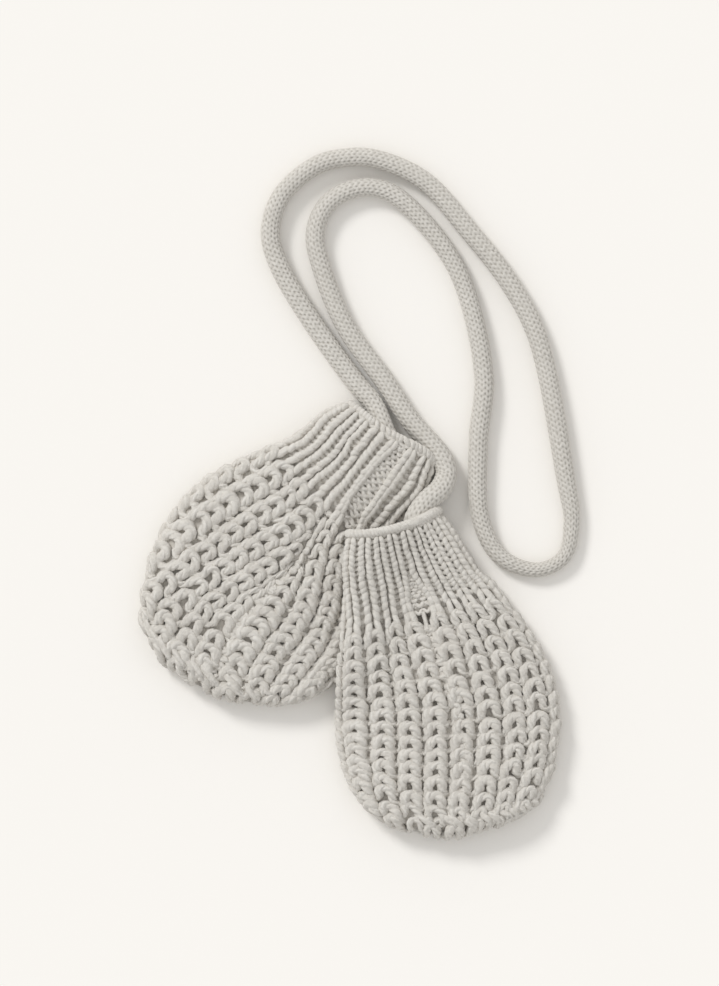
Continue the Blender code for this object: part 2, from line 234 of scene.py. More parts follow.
@dataclass(frozen=True)
class WoolFinish:
    """Matt light warm grey wool, spun of a few plies.

    Yarn reads the piece's own UV map: along the yarn in turns of its twist, and once round it. Its tone runs
    from shade to colour; base_tone is that of the plies' crests without fibre specks and patches.
    """

    name: str
    colour: tuple[float, float, float] = (0.752, 0.724, 0.675)
    # The dark end of the tone: it takes the painted shade in the ply grooves and in the cord's dents, as
    # well as the yarn's random darker tone.
    shade: tuple[float, float, float] = (0.57, 0.538, 0.488)
    plies: int = 3
    ply_shade: float = 0.34
    twist_depth: float = 0.5
    fuzz_depth: float = 0.8
    fuzz_scale: float = 650.0
    patch_scale: float = 60.0
    base_tone: float = -0.165
    fuzz_tone: float = 1.35
    patch_tone: float = 0.35
    sheen: float = 0.25
    roughness: float = 0.92

    def material(self) -> bpy.types.Material:
        """Build the node material.

        Returns:
            The material, ready to assign.
        """
        made = bpy.data.materials.new(self.name)
        made.use_nodes = True
        tree = made.node_tree
        shader = tree.nodes["Principled BSDF"]
        shader.inputs["Roughness"].default_value = self.roughness
        shader.inputs["Sheen Weight"].default_value = self.sheen
        shader.inputs["Sheen Roughness"].default_value = 0.6
        shader.inputs["Sheen Tint"].default_value = (0.95, 0.93, 0.9, 1.0)
        shader.inputs["Specular IOR Level"].default_value = 0.15

        coordinates = tree.nodes.new("ShaderNodeTexCoord")
        plies = self.ply_wave(tree, coordinates)
        fuzz = self.noise(tree, coordinates, self.fuzz_scale, detail=5.0)
        patches = self.noise(tree, coordinates, self.patch_scale, detail=2.0)
        tone = tree.nodes.new("ShaderNodeAttribute")
        tone.attribute_name = "tone"

        mixture = self.mixture(tree, plies, fuzz, patches, tone.outputs["Fac"])
        tree.links.new(mixture, shader.inputs["Base Color"])
        twist = self.bump(tree, plies, self.twist_depth, 0.4 * MM)
        fibres = self.bump(tree, fuzz, self.fuzz_depth, 0.9 * MM)
        tree.links.new(twist.outputs["Normal"], fibres.inputs["Normal"])
        tree.links.new(fibres.outputs["Normal"], shader.inputs["Normal"])
        return made

    def ply_wave(self, tree: bpy.types.NodeTree, coordinates: bpy.types.Node) -> bpy.types.NodeSocket:
        """Return a wave that is 1 on each ply and 0 in the grooves between plies.

        Args:
            tree: The material's nodes.
            coordinates: The texture coordinates' node.

        Returns:
            The wave.
        """
        split = tree.nodes.new("ShaderNodeSeparateXYZ")
        tree.links.new(coordinates.outputs["UV"], split.inputs[0])
        across = self.math(tree, "MULTIPLY", split.outputs["Y"], self.plies)
        turn = self.math(tree, "ADD", across, split.outputs["X"])
        angle = self.math(tree, "MULTIPLY", turn, 2 * math.pi)
        wave = self.math(tree, "SINE", angle)
        return self.math(tree, "MULTIPLY_ADD", wave, 0.5, 0.5)

    @staticmethod
    def math(tree: bpy.types.NodeTree, operation: str, *values: object) -> bpy.types.NodeSocket:
        """Add a math node.

        Args:
            tree: The material's nodes.
            operation: The node's operation.
            *values: Sockets or numbers, one for each input.

        Returns:
            The node's output.
        """
        node = tree.nodes.new("ShaderNodeMath")
        node.operation = operation
        for socket, value in zip(node.inputs, values):
            if isinstance(value, bpy.types.NodeSocket):
                tree.links.new(value, socket)
            else:
                socket.default_value = value
        return node.outputs[0]

    @staticmethod
    def noise(
        tree: bpy.types.NodeTree, coordinates: bpy.types.Node, scale: float, detail: float
    ) -> bpy.types.NodeSocket:
        """Return a noise over the piece's own coordinates.

        Args:
            tree: The material's nodes.
            coordinates: The texture coordinates' node.
            scale: Grains in a metre.
            detail: How many finer noises lie in it.

        Returns:
            The noise.
        """
        node = tree.nodes.new("ShaderNodeTexNoise")
        node.inputs["Scale"].default_value = scale
        node.inputs["Detail"].default_value = detail
        node.inputs["Roughness"].default_value = 0.6
        tree.links.new(coordinates.outputs["Object"], node.inputs["Vector"])
        return node.outputs["Fac"]

    def mixture(
        self,
        tree: bpy.types.NodeTree,
        plies: bpy.types.NodeSocket,
        fuzz: bpy.types.NodeSocket,
        patches: bpy.types.NodeSocket,
        tone: bpy.types.NodeSocket,
    ) -> bpy.types.NodeSocket:
        """Mix the wool's colour from the plies with painted shade in the grooves between them, fibre specks
        and soft patches.

        Args:
            tree: The material's nodes.
            plies: The wave over the plies.
            fuzz: The fibres' noise.
            patches: The patches' noise.
            tone: How much lighter or darker the yarn is there.

        Returns:
            The colour.
        """
        # Painted shade: the grooves between the plies are made darker than the crests.
        light = self.math(tree, "MULTIPLY_ADD", plies, self.ply_shade, self.base_tone - self.ply_shade)
        light = self.math(tree, "MULTIPLY_ADD", fuzz, self.fuzz_tone, light)
        light = self.math(tree, "MULTIPLY_ADD", patches, self.patch_tone, light)
        light = self.math(tree, "ADD", light, tone)
        ramp = tree.nodes.new("ShaderNodeMix")
        ramp.data_type = "RGBA"
        ramp.clamp_factor = True
        ramp.inputs["A"].default_value = (*self.shade, 1.0)
        ramp.inputs["B"].default_value = (*self.colour, 1.0)
        tree.links.new(light, ramp.inputs["Factor"])
        return ramp.outputs["Result"]

    @staticmethod
    def bump(
        tree: bpy.types.NodeTree, height: bpy.types.NodeSocket, strength: float, distance: float
    ) -> bpy.types.Node:
        """Return a bump node that reads a height.

        Args:
            tree: The material's nodes.
            height: The height.
            strength: Its share that counts.
            distance: The relief's depth.

        Returns:
            The node.
        """
        node = tree.nodes.new("ShaderNodeBump")
        node.inputs["Strength"].default_value = strength
        node.inputs["Distance"].default_value = distance
        tree.links.new(height, node.inputs["Height"])
        return node


@dataclass(frozen=True)
class PaperFinish:
    """The plain pale studio floor."""

    name: str = "studio_floor"
    colour: tuple[float, float, float] = (0.947, 0.922, 0.880)

    def material(self) -> bpy.types.Material:
        """Build the matt floor material."""
        made = bpy.data.materials.new(self.name)
        made.use_nodes = True
        shader = made.node_tree.nodes["Principled BSDF"]
        shader.inputs["Base Color"].default_value = (*self.colour, 1.0)
        shader.inputs["Roughness"].default_value = 1.0
        shader.inputs["Specular IOR Level"].default_value = 0.0
        return made


# Yarn


@dataclass
class Yarn:
    """Lines of yarn that become one mesh of round tubes.

    Attributes:
        sides: Sides of each tube, an even number from 6.
        twist_pitch: Length of yarn for one turn of its plies.
        lines: Each line's points in metres with their radii and tones, and whether it is closed.
    """

    name: str
    finish: WoolFinish
    sides: int = 8
    twist_pitch: float = 9 * MM
    lines: list[tuple[np.ndarray, np.ndarray, np.ndarray, bool]] = field(default_factory=list)

    def add(self, points: np.ndarray, radii: np.ndarray, tones: np.ndarray, closed: bool = True) -> None:
        """Lay one line of yarn.

        Args:
            points: The line's points.
            radii: The yarn's radius at each point.
            tones: How much lighter or darker it is at each point.
            closed: Whether its end joins its start.
        """
        self.lines.append((points, radii, tones, closed))

    def build(self) -> bpy.types.Object:
        """Sweep a round section along every line and join them in one mesh.

        Returns:
            The linked piece, with a UV map along and round the yarn and a tone attribute.
        """
        curve = bpy.data.curves.new(self.name, "CURVE")
        curve.dimensions = "3D"
        curve.bevel_depth = 1.0
        curve.bevel_resolution = self.sides // 2 - 2
        curve.use_fill_caps = True
        for points, radii, _, closed in self.lines:
            spline = curve.splines.new("POLY")
            spline.points.add(len(points) - 1)
            spline.points.foreach_set("co", np.column_stack([points, np.ones(len(points))]).ravel())
            spline.points.foreach_set("radius", radii)
            spline.use_cyclic_u = closed
        guide = link(bpy.data.objects.new(self.name + "_guide", curve))
        bpy.context.view_layer.update()
        mesh = bpy.data.meshes.new_from_object(guide.evaluated_get(bpy.context.evaluated_depsgraph_get()))
        bpy.data.objects.remove(guide)
        bpy.data.curves.remove(curve)
        mesh.name = self.name
        self.write_tones(mesh)
        self.stretch_map(mesh)
        mesh.shade_smooth()
        mesh.materials.clear()
        mesh.materials.append(self.finish.material())
        return link(bpy.data.objects.new(self.name, mesh))

    def write_tones(self, mesh: bpy.types.Mesh) -> None:
        """Give each ring of the tubes its point's tone.

        Args:
            mesh: The tubes.
        """
        tones = np.concatenate([np.repeat(tone, self.sides) for _, _, tone, _ in self.lines])
        attribute = mesh.attributes.new("tone", "FLOAT", "POINT")
        values = np.zeros(len(mesh.vertices), dtype=np.float32)
        values[: len(tones)] = tones[: len(values)]
        attribute.data.foreach_set("value", values)

    def stretch_map(self, mesh: bpy.types.Mesh) -> None:
        """Scale the UV map along each line to turns of the yarn's twist.

        Args:
            mesh: The tubes.
        """
        layer = mesh.uv_layers[0].data
        flat = np.zeros(len(layer) * 2)
        layer.foreach_get("uv", flat)
        starts = np.cumsum([0] + [len(points) * self.sides for points, _, _, _ in self.lines])
        corner_vertices = np.zeros(len(mesh.loops), dtype=np.int32)
        mesh.loops.foreach_get("vertex_index", corner_vertices)
        owner = np.clip(np.searchsorted(starts, corner_vertices, side="right") - 1, 0, len(self.lines) - 1)
        lengths = np.array(
            [np.linalg.norm(np.diff(points, axis=0), axis=1).sum() for points, _, _, _ in self.lines]
        )
        flat = flat.reshape(-1, 2)
        flat[:, 0] *= np.round(lengths / self.twist_pitch)[owner]
        layer.foreach_set("uv", flat.ravel())


# The form


@dataclass
class Carrier:
    """The cloth of the left mitten as the right one feels it: two fields of heights on a grid.

    Attributes:
        nodes: Names of the CAD nodes that carry.
        slope: Fall of the upper cloth's underside beside what carries it.
        reach: Distance over which it is still lifted.
        margin: Width beside the carrier over which it doesn't fall yet.
        gap: Clearance between the two.
    """

    nodes: tuple[str, ...] = ("left_cuff", "left_hand")
    slope: float = 0.9
    reach: float = 18 * MM
    margin: float = 2.5 * MM
    cell: float = 1.5 * MM
    gap: float = 0.3 * MM
    underside_passes: int = 4
    crown_passes: int = 24

    def __post_init__(self) -> None:
        """Measure the carrying nodes from above and spread their heights."""
        trees, corners = [], []
        for name in self.nodes:
            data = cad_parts[name].data
            points = [vertex.co.copy() for vertex in data.vertices]
            corners += points
            trees.append(BVHTree.FromPolygons(points, [face.vertices[:] for face in data.polygons]))
        corners = np.array(corners)
        self.low = corners[:, :2].min(axis=0) - 2 * self.reach
        self.count = ((corners[:, :2].max(axis=0) + 2 * self.reach - self.low) / self.cell).astype(int) + 1
        above = corners[:, 2].max() * 2
        tops = np.zeros(self.count)
        for i, j in np.ndindex(*self.count):
            x, y = self.low + self.cell * np.array([i, j])
            for tree in trees:
                hit = tree.ray_cast(Vector((x, y, above)), Vector((0, 0, -1)))[0]
                if hit is not None:
                    tops[i, j] = max(tops[i, j], hit.z + 2 * self.gap)
        spread = self.spread(tops)
        self.underside = np.maximum(spread, self.smooth(spread, self.underside_passes))
        self.crown = self.smooth(spread, self.crown_passes)

    def spread(self, tops: np.ndarray) -> np.ndarray:
        """Return the heights that cloth keeps, falling no more steeply than the slope.

        Args:
            tops: The carrier's heights.

        Returns:
            The cloth's heights.
        """
        reach = int(self.reach / self.cell)
        spread = tops.copy()
        for i in range(-reach, reach + 1):
            for j in range(-reach, reach + 1):
                fall = self.slope * max(0.0, self.cell * np.hypot(i, j) - self.margin)
                spread = np.maximum(spread, np.roll(tops, (i, j), axis=(0, 1)) - fall)
        return spread

    def smooth(self, heights: np.ndarray, passes: int) -> np.ndarray:
        """Return the heights less the gap, evened out between cells and flat again where they are low.

        Args:
            heights: The cloth's heights.
            passes: Rounds of smoothing.

        Returns:
            The heights.
        """
        for _ in range(passes):
            for axis in (0, 1):
                heights = (np.roll(heights, 1, axis) + 2 * heights + np.roll(heights, -1, axis)) / 4
        return np.where(heights < self.gap, 0.0, heights - self.gap)

    def read(self, heights: np.ndarray, plan: np.ndarray) -> np.ndarray:
        """Return a field's heights at points of the plan.

        Args:
            heights: The field.
            plan: The points.

        Returns:
            One height for each point.
        """
        cells = np.clip((plan - self.low) / self.cell, 0, self.count - 2)
        i, j = cells.astype(int).T
        return blend(heights, (i, j), (i + 1, j + 1), *(cells - cells.astype(int)).T)


class Spread(NamedTuple):
    """Where the edges of the ten upper columns lie at one row, in thousandths of it from the left."""

    along: float
    edges: tuple[int, ...]


RIGHT_SPREADS = (
    Spread(0.00, (20, 150, 280, 390, 515, 645, 735, 825, 920, 1010, 1100)),
    Spread(0.35, (20, 145, 275, 400, 508, 632, 725, 815, 925, 1020, 1110)),
    Spread(0.60, (20, 138, 266, 390, 496, 626, 730, 820, 925, 1030, 1120)),
    Spread(0.97, (60, 175, 290, 390, 515, 637, 727, 813, 915, 1010, 1100)),
    Spread(1.10, (60, 177, 288, 385, 505, 632, 730, 825, 925, 1020, 1110)),
    Spread(1.38, (60, 175, 285, 393, 505, 612, 720, 820, 915, 1010, 1100)),
    Spread(2.00, (60, 170, 280, 390, 500, 610, 715, 815, 910, 1000, 1090)),
)

LEFT_SPREADS = (
    Spread(0.00, (-20, 90, 215, 315, 510, 650, 790, 905, 1000, 1090, 1180)),
    Spread(0.30, (-10, 120, 258, 360, 532, 645, 808, 945, 1040, 1120, 1200)),
    Spread(0.55, (10, 145, 284, 404, 535, 658, 802, 945, 1040, 1120, 1200)),
    Spread(0.75, (20, 158, 279, 403, 550, 665, 810, 945, 1030, 1110, 1190)),
    Spread(0.98, (10, 140, 275, 396, 560, 705, 830, 945, 1030, 1110, 1180)),
    Spread(1.03, (0, 128, 272, 395, 540, 548, 556, 565, 665, 800, 930)),
    Spread(1.12, (0, 125, 275, 391, 540, 552, 561, 570, 660, 790, 930)),
    Spread(1.22, (-10, 120, 256, 375, 500, 560, 568, 584, 685, 805, 930)),
    Spread(1.33, (-20, 114, 235, 340, 446, 530, 565, 610, 718, 825, 940)),
    Spread(1.45, (-50, 88, 208, 308, 400, 490, 530, 632, 730, 828, 940)),
    Spread(1.57, (-100, 30, 165, 257, 350, 437, 497, 630, 732, 826, 930)),
    Spread(1.69, (-150, -30, 95, 200, 295, 378, 475, 615, 720, 820, 930)),
    Spread(1.80, (-200, -80, 20, 125, 240, 350, 460, 602, 710, 812, 920)),
    Spread(2.00, (-240, -140, -40, 60, 170, 310, 440, 590, 700, 800, 910)),
)


class Swell(NamedTuple):
    """A place where the cloth is pushed outwards in the plan, in millimetres.

    along and across (-1 to 1) are its middle; the reaches are how far it spreads.
    """

    along: float
    across: float
    along_reach: float
    across_reach: float
    shift_x: float
    shift_y: float


LEFT_SWELLS = (
    Swell(0.00, 0.45, 0.16, 0.50, 1.7, 2.1),
    Swell(0.00, 0.80, 0.14, 0.30, 1.6, 1.2),
    Swell(0.36, 1.00, 0.30, 0.30, 3.4, 0.0),
)


class Opening(NamedTuple):
    """The strip where a cuff opens between two columns, like a ladder.

    column is the edge that opens; widths are how far, in turns, at each of the rows; first and last are the
    places of the purl side's bars in it. tie is how far a strand runs on from the last bar, with a hole at
    each side, and pit how deep the cloth is dented behind those holes.
    """

    column: float
    rows: tuple[float, ...]
    widths: tuple[float, ...]
    first: float
    last: float
    tie: float = 0.0
    pit: float = 0.0


LEFT_OPENING = Opening(
    5.0, (0.0, 0.15, 0.4, 0.7, 0.95, 1.0, 1.05), (0.04, 0.075, 0.105, 0.115, 0.115, 0.07, 0.0), 0.09, 1.02
)
RIGHT_OPENING = Opening(
    4.0, (0.0, 0.55, 0.75, 0.85, 0.95, 1.03, 1.1), (0.0, 0.0, 0.045, 0.08, 0.085, 0.05, 0.0), 0.60, 0.985,
    tie=0.085, pit=9 * MM,
)


@dataclass
class Form:
    """The smooth outer face of one mitten, measured on a fine grid of turns and rows.

    Attributes:
        carrier: What lifts it, if anything does.
        edge_share: Height of its edges as a share of the whole.
        edge_rounding: How far in from its edges the underside turns up.
        first: Place of the grid's first row, beyond the rim.
        tip_share: Length of the rounded tip.
        width_to_height: Its usual width over its height, by which turns are measured.
        crown_lift: How much of its carrier's height its upper side takes on.
        opening_edge: How far beside the opened edge, in columns, the pull is whole.
        opening_fade: Over how many columns more the pull dies out.
        fine: Points of the section before it is evened out.
    """

    rows: tuple[Row, ...]
    spreads: tuple[Spread, ...]
    opening: Opening
    swells: tuple[Swell, ...] = ()
    carrier: Optional[Carrier] = None
    edge_share: float = 0.33
    crown_power: float = 3.0
    edge_rounding: float = 6 * MM
    first: float = -0.08
    tip_share: float = 9.0 / 91.0
    width_to_height: float = 3.3
    bow_power: float = 2.4
    crown_lift: float = 0.65
    least_height: float = 9 * MM
    opening_edge: float = 0.12
    opening_fade: float = 0.6
    smoothing: int = 3
    fine: int = 400
    body_rows: int = 190
    tip_rows: int = 24
    half_turns: int = 160

    def __post_init__(self) -> None:
        """Measure the grid and its outward directions."""
        body = np.linspace(self.first, 2 - self.tip_share, self.body_rows)
        tip = 2 - self.tip_share * (1 - np.sin(np.linspace(0, np.pi / 2, self.tip_rows + 1)[1:]))
        self.alongs = np.concatenate([body, tip])
        self.grid = np.stack([self.section(along) for along in self.alongs])
        turned = np.roll(self.grid, -1, 1) - np.roll(self.grid, 1, 1)
        normals = np.cross(np.gradient(self.grid, axis=0), turned)
        normals /= np.linalg.norm(normals, axis=2)[..., None]
        for _ in range(self.smoothing):
            normals = np.roll(normals, 1, 1) + 2 * normals + np.roll(normals, -1, 1)
            normals /= np.linalg.norm(normals, axis=2)[..., None]
        self.normals = normals

    def section(self, along: float) -> np.ndarray:
        """Measure one row.

        Args:
            along: The row's place from rim to tip.

        Returns:
            Points round it, over the upper side from the left edge and back below.
        """
        row = smooth_curve([r.along for r in self.rows], [r[1:] for r in self.rows], along) * MM
        left, right, bow = row[0:2] - MIDDLE * MM, row[2:4] - MIDDLE * MM, row[4]
        chord = right - left
        half = np.hypot(*chord) / 2
        onward = np.array([chord[1], -chord[0]]) / (2 * half)
        closing = np.clip((along - 2 + self.tip_share) / self.tip_share, 0.0, 1.0)
        place, share = self.outline(half, np.sqrt(1 - closing * closing))
        plan = left + np.outer((place + 1) / 2, chord)
        plan += np.outer(bow * (1 - np.abs(place) ** self.bow_power), onward)
        for swell in self.swells:
            away = ((along - swell.along) / swell.along_reach) ** 2
            weight = np.exp(-away - ((place - swell.across) / swell.across_reach) ** 2)
            plan += np.outer(weight, (swell.shift_x * MM, swell.shift_y * MM))
        height = row[5] + (row[6] - row[5]) * smooth_step(0.1, 0.9, place)
        base = np.zeros(len(plan))
        if self.carrier is not None:
            base = self.carrier.read(self.carrier.underside, plan)
            crown = self.carrier.read(self.carrier.crown, plan)
            height = np.maximum(height + self.crown_lift * crown - base, self.least_height)
        return np.column_stack([plan, base + share * height])

    def outline(self, half: float, fullness: float) -> tuple[np.ndarray, np.ndarray]:
        """Return places across and shares of the height, evenly spaced along the cloth.

        Args:
            half: Half the row's width.
            fullness: 1, or less where the tip closes.

        Returns:
            The places, from -1 to 1, and the shares.
        """
        upper = -np.cos(np.linspace(0, np.pi, self.fine))
        arch = (1 - np.abs(upper) ** self.crown_power) ** (1 / self.crown_power)
        upper_share = self.edge_share + (1 - self.edge_share) * fullness * arch
        flat = 1 - self.edge_rounding / half
        quarter = np.linspace(0, np.pi / 2, self.fine // 4)
        roll = flat + (1 - flat) * np.cos(quarter)
        lower = np.concatenate([roll, np.linspace(flat, -flat, self.fine)[1:-1], -roll[::-1]])
        rise = np.concatenate([np.sin(quarter), np.ones(self.fine - 2), np.sin(quarter[::-1])])
        lower_share = self.edge_share * (1 - fullness * rise)
        halves = []
        for across, share in ((upper, upper_share), (lower, lower_share)):
            length = np.cumsum(np.hypot(np.diff(across) * self.width_to_height, np.diff(share)))
            length = np.concatenate([[0.0], length]) / length[-1]
            even = np.linspace(0, 1, self.half_turns + 1)[:-1]
            halves.append((np.interp(even, length, across), np.interp(even, length, share)))
        return np.concatenate([h[0] for h in halves]), np.concatenate([h[1] for h in halves])

    def turn(self, column: np.ndarray, along: np.ndarray) -> np.ndarray:
        """Find how far round the mitten a place in the knitting lies.

        Args:
            column: 0 to 10 over the upper side and 10 to 20 below.
            along: The row's place from rim to tip.

        Returns:
            Turns, with 0 and 2 at the left edge and 1 at the right edge.
        """
        column = np.mod(column, 2 * COLUMNS)
        upper = np.clip(column, 0, COLUMNS)
        edges = [*range(COLUMNS + 1), 2 * COLUMNS]
        tables = np.stack(
            [np.interp(column, edges, np.array([*s.edges, s.edges[0] + 2000]) / 1000) for s in self.spreads]
        )
        knots = np.array([spread.along for spread in self.spreads])
        place = np.clip(np.interp(along, knots, np.arange(len(knots))), 0, len(knots) - 1.000001)
        index = place.astype(int)
        share = smooth_step(0, 1, place - index)
        pick = np.arange(len(column))
        turns = tables[index, pick] * (1 - share) + tables[index + 1, pick] * share
        width = np.interp(along, self.opening.rows, self.opening.widths)
        away = upper - self.opening.column
        pull = np.clip(away / self.opening_edge, -1, 1)
        pull *= np.clip(1 - (np.abs(away) - self.opening_edge) / self.opening_fade, 0, 1)
        return turns + 0.5 * width * pull

    def place(
        self,
        column: np.ndarray,
        along: np.ndarray,
        height: np.ndarray,
        reach: tuple[float, float] = (-1.0, 2.0),
    ) -> np.ndarray:
        """Find points on or near the outer face.

        Args:
            column: Places round the knitting, in columns.
            along: Places from rim to tip.
            height: Distances out of the smooth outer face.
            reach: The rows between which the columns' places are read.

        Returns:
            One point for each place.
        """
        round_count = self.grid.shape[1]
        across = np.mod(self.turn(column, np.clip(along, *reach)) * self.half_turns, round_count)
        i = across.astype(int) % round_count
        x = (across - np.floor(across))[:, None]
        j = np.clip(np.searchsorted(self.alongs, along) - 1, 0, len(self.alongs) - 2)
        y = ((along - self.alongs[j]) / (self.alongs[j + 1] - self.alongs[j]))[:, None]
        nodes = (j, i), (j + 1, (i + 1) % round_count), y, x
        return blend(self.grid, *nodes) + blend(self.normals, *nodes) * np.asarray(height)[:, None]


# Stitches


@dataclass(frozen=True)
class Stitch:
    """The shape of one knit stitch between two purl grooves, as the left half of its loop.

    Each knot holds the place across the column (-0.5 to 0.5), the place along in rows, the height out of
    the smooth face and the yarn's radius, both in millimetres.
    """

    knots: tuple[tuple[float, float, float, float], ...]
    width: float  # the column's width that the radii are meant for

    def loop(self) -> np.ndarray:
        """Return the knots of the whole loop, without the groove at its right end."""
        left = np.array(self.knots)
        right = left[1:-1][::-1] * [-1, 1, 1, 1]
        return np.concatenate([left, right])


CHUNKY = Stitch(
    (
        (-0.50, 0.58, -2.15, 1.50),
        (-0.385, 0.66, -1.45, 1.75),
        (-0.262, 0.42, -0.85, 2.05),
        (-0.272, 0.05, -0.30, 2.25),
        (-0.17, -0.24, -0.15, 2.25),
        (0.00, -0.33, -0.50, 2.05),
    ),
    10.5 * MM,
)

FINE = Stitch(
    (
        (-0.50, -0.35, -1.45, 0.90),
        (-0.26, -0.64, -1.50, 0.90),
        (-0.165, -0.42, -1.10, 0.95),
        (-0.195, -0.04, -0.28, 1.20),
        (-0.235, 0.38, -0.10, 1.28),
        (-0.265, 0.78, -0.50, 1.15),
        (0.00, 1.08, -2.00, 0.80),
    ),
    7.0 * MM,
)


@dataclass
class Dressing:
    """A piece that is laid on a mitten's form: its name, the form and its wool."""

    name: str
    form: Form
    finish: WoolFinish


@dataclass
class Thread(Dressing):
    """Yarn that is laid beside the courses, by each kind of thread in its own way.

    Attributes:
        seed: Start of its unevenness.
    """

    seed: int
    sides: ClassVar[int] = 6
    twist_pitch: ClassVar[float] = 7 * MM

    def build(self) -> bpy.types.Object:
        """Lay the yarn and return its linked mesh."""
        yarn = Yarn(self.name, self.finish, self.sides, self.twist_pitch)
        self.lay(yarn, np.random.RandomState(self.seed))
        return yarn.build()

    def lay(self, yarn: Yarn, random: np.random.RandomState) -> None:
        """Add the thread's lines to the yarn.

        Args:
            yarn: The piece of yarn, still empty.
            random: The thread's unevenness.
        """
        raise NotImplementedError


# How far the knots of an uneven loop stray: across, across away from its middle, along, along in its two
# halves against each other, up in millimetres, and in thickness. The last is how far its tone does.
STRAYS = (0.022, 0.018, 0.06, 0.05, 0.16, 0.05)
TONE_STRAY = 0.05


@dataclass
class Knitting(Dressing):
    """Courses of yarn over one part of a mitten.

    Attributes:
        first: Place of the first course.
        last: Place of the last course.
        samples: Points for each knot of a stitch.
        strands: Strands that wind round each other in the yarn.
        strand_share: Radius of a strand as a share of the yarn's.
        strand_offset: Its distance from the yarn's middle as a share of the yarn's radius.
        parts: Meshes that the courses are shared out among.
        reach: The rows between which the columns' places are read.
        filled: The first column whose groove is shallow, and the one after the last.
        filled_groove: The least height and radius of the yarn in such a column.
        filled_spread: How much wider than usual its loops are.
        lower_sink: How deep the yarn lies in the underside.
        edge_sink: How deep it lies at the edges.
        narrow_sink: How far it sinks where its column is squeezed shut.
        tip_uneven: How much more uneven they are at the gathered tip.
        tip: Places between which the tip's unevenness comes in.
        radius_power: How the yarn's radius follows its column's width.
        size_limits: Its least and greatest share of the stitch's own.
        squeezed: Shares of the stitch's width between which a column is squeezed shut.
        edge_reach: Turns over which the yarn sinks towards an edge, above and below.
    """

    seed: int
    stitch: Stitch
    first: float
    last: float
    rows: int
    sides: int = 8
    samples: int = 2
    strands: int = 1
    strand_share: float = 0.66
    strand_offset: float = 0.37
    parts: int = 1
    reach: tuple[float, float] = (-1.0, 2.0)
    filled: tuple[int, int] = (0, 0)
    filled_groove: tuple[float, float] = (-1.0, 1.02)
    filled_spread: float = 1.0
    lower_sink: float = 1.55 * MM
    edge_sink: float = 0.9 * MM
    narrow_sink: float = 3.0 * MM
    uneven: float = 1.0
    tip_uneven: float = 0.9
    tip: tuple[float, float] = (1.72, 1.95)
    twist_pitch: float = 9 * MM
    radius_power: float = 0.75
    size_limits: tuple[float, float] = (0.5, 1.3)
    squeezed: tuple[float, float] = (0.25, 0.6)
    edge_reach: tuple[float, float] = (0.12, 0.1)
    floor_gap: float = 0.02 * MM

    def build(self) -> list[bpy.types.Object]:
        """Knit every course.

        Returns:
            The linked meshes of yarn, each with its share of the courses.
        """
        random = np.random.RandomState(self.seed)
        alongs = np.linspace(self.first, self.last, self.rows)
        pitch = alongs[1] - alongs[0]
        made = []
        for part, places in enumerate(np.array_split(alongs, self.parts)):
            yarn = Yarn(f"{self.name}_{part + 1}", self.finish, self.sides, self.twist_pitch)
            for along in places:
                self.lay(yarn, *self.course(along, pitch, random))
            made.append(yarn.build())
        return made

    def lay(self, yarn: Yarn, points: np.ndarray, radii: np.ndarray, tones: np.ndarray) -> None:
        """Lay a course as one round yarn or as strands that wind round each other.

        Args:
            yarn: What the lines are added to.
            points: The course's middle line.
            radii: The whole yarn's radius at each point.
            tones: How much lighter or darker it is there.
        """
        if self.strands == 1:
            yarn.add(points, radii, tones)
            return
        steps = np.roll(points, -1, 0) - points
        lengths = np.linalg.norm(steps, axis=1)
        tangents = steps + np.roll(steps, 1, 0)
        tangents /= np.linalg.norm(tangents, axis=1)[:, None]
        side = np.cross(tangents, (0.0, 0.0, 1.0))
        side /= np.linalg.norm(side, axis=1)[:, None] + 1e-9
        rise = np.cross(side, tangents)
        turns = round(lengths.sum() / self.twist_pitch)
        angle = 2 * np.pi * turns * (np.cumsum(lengths) - lengths) / lengths.sum()
        for strand in range(self.strands):
            turned = angle + 2 * np.pi * strand / self.strands
            way = side * np.cos(turned)[:, None] + rise * np.sin(turned)[:, None]
            placed = points + way * (self.strand_offset * radii)[:, None]
            thin = radii * self.strand_share
            placed[:, 2] = np.maximum(placed[:, 2], self.floor_gap + thin)
            yarn.add(placed, thin, tones)

    def course(
        self, along: float, pitch: float, random: np.random.RandomState
    ) -> tuple[np.ndarray, np.ndarray, np.ndarray]:
        """Knit one course round the mitten.

        Args:
            along: The course's place.
            pitch: Distance between courses, as a share of the mitten.
            random: The hand's unevenness.

        Returns:
            Points, radii and tones.
        """
        loop = self.stitch.loop()
        count = len(loop)
        total = 2 * COLUMNS
        knots = np.tile(loop, (total, 1))
        column = np.repeat(np.arange(total), count)
        inner = np.tile(np.arange(count) > 0, total)
        uneven = self.uneven * (1 + self.tip_uneven * smooth_step(*self.tip, along))
        stray = (random.normal(0, uneven, (total, len(STRAYS))) * STRAYS)[column]
        side = np.sign(knots[:, 0])
        across = knots[:, 0] + inner * (stray[:, 0] + side * stray[:, 1])
        onward = knots[:, 1] + inner * (stray[:, 2] + side * stray[:, 3])
        rise = knots[:, 2] + inner * stray[:, 4]
        radius = knots[:, 3] * (1 + stray[:, 5])
        shallow = (column >= self.filled[0]) & (column < self.filled[1])
        rise[shallow] = np.maximum(rise[shallow], self.filled_groove[0])
        radius[shallow] = np.maximum(radius[shallow], self.filled_groove[1])
        across[shallow & inner] *= self.filled_spread
        tone = TONE_STRAY * random.normal(0, 1, total)[column]
        table = np.column_stack([column + 0.5 + across, along + onward * pitch, rise, radius, tone])
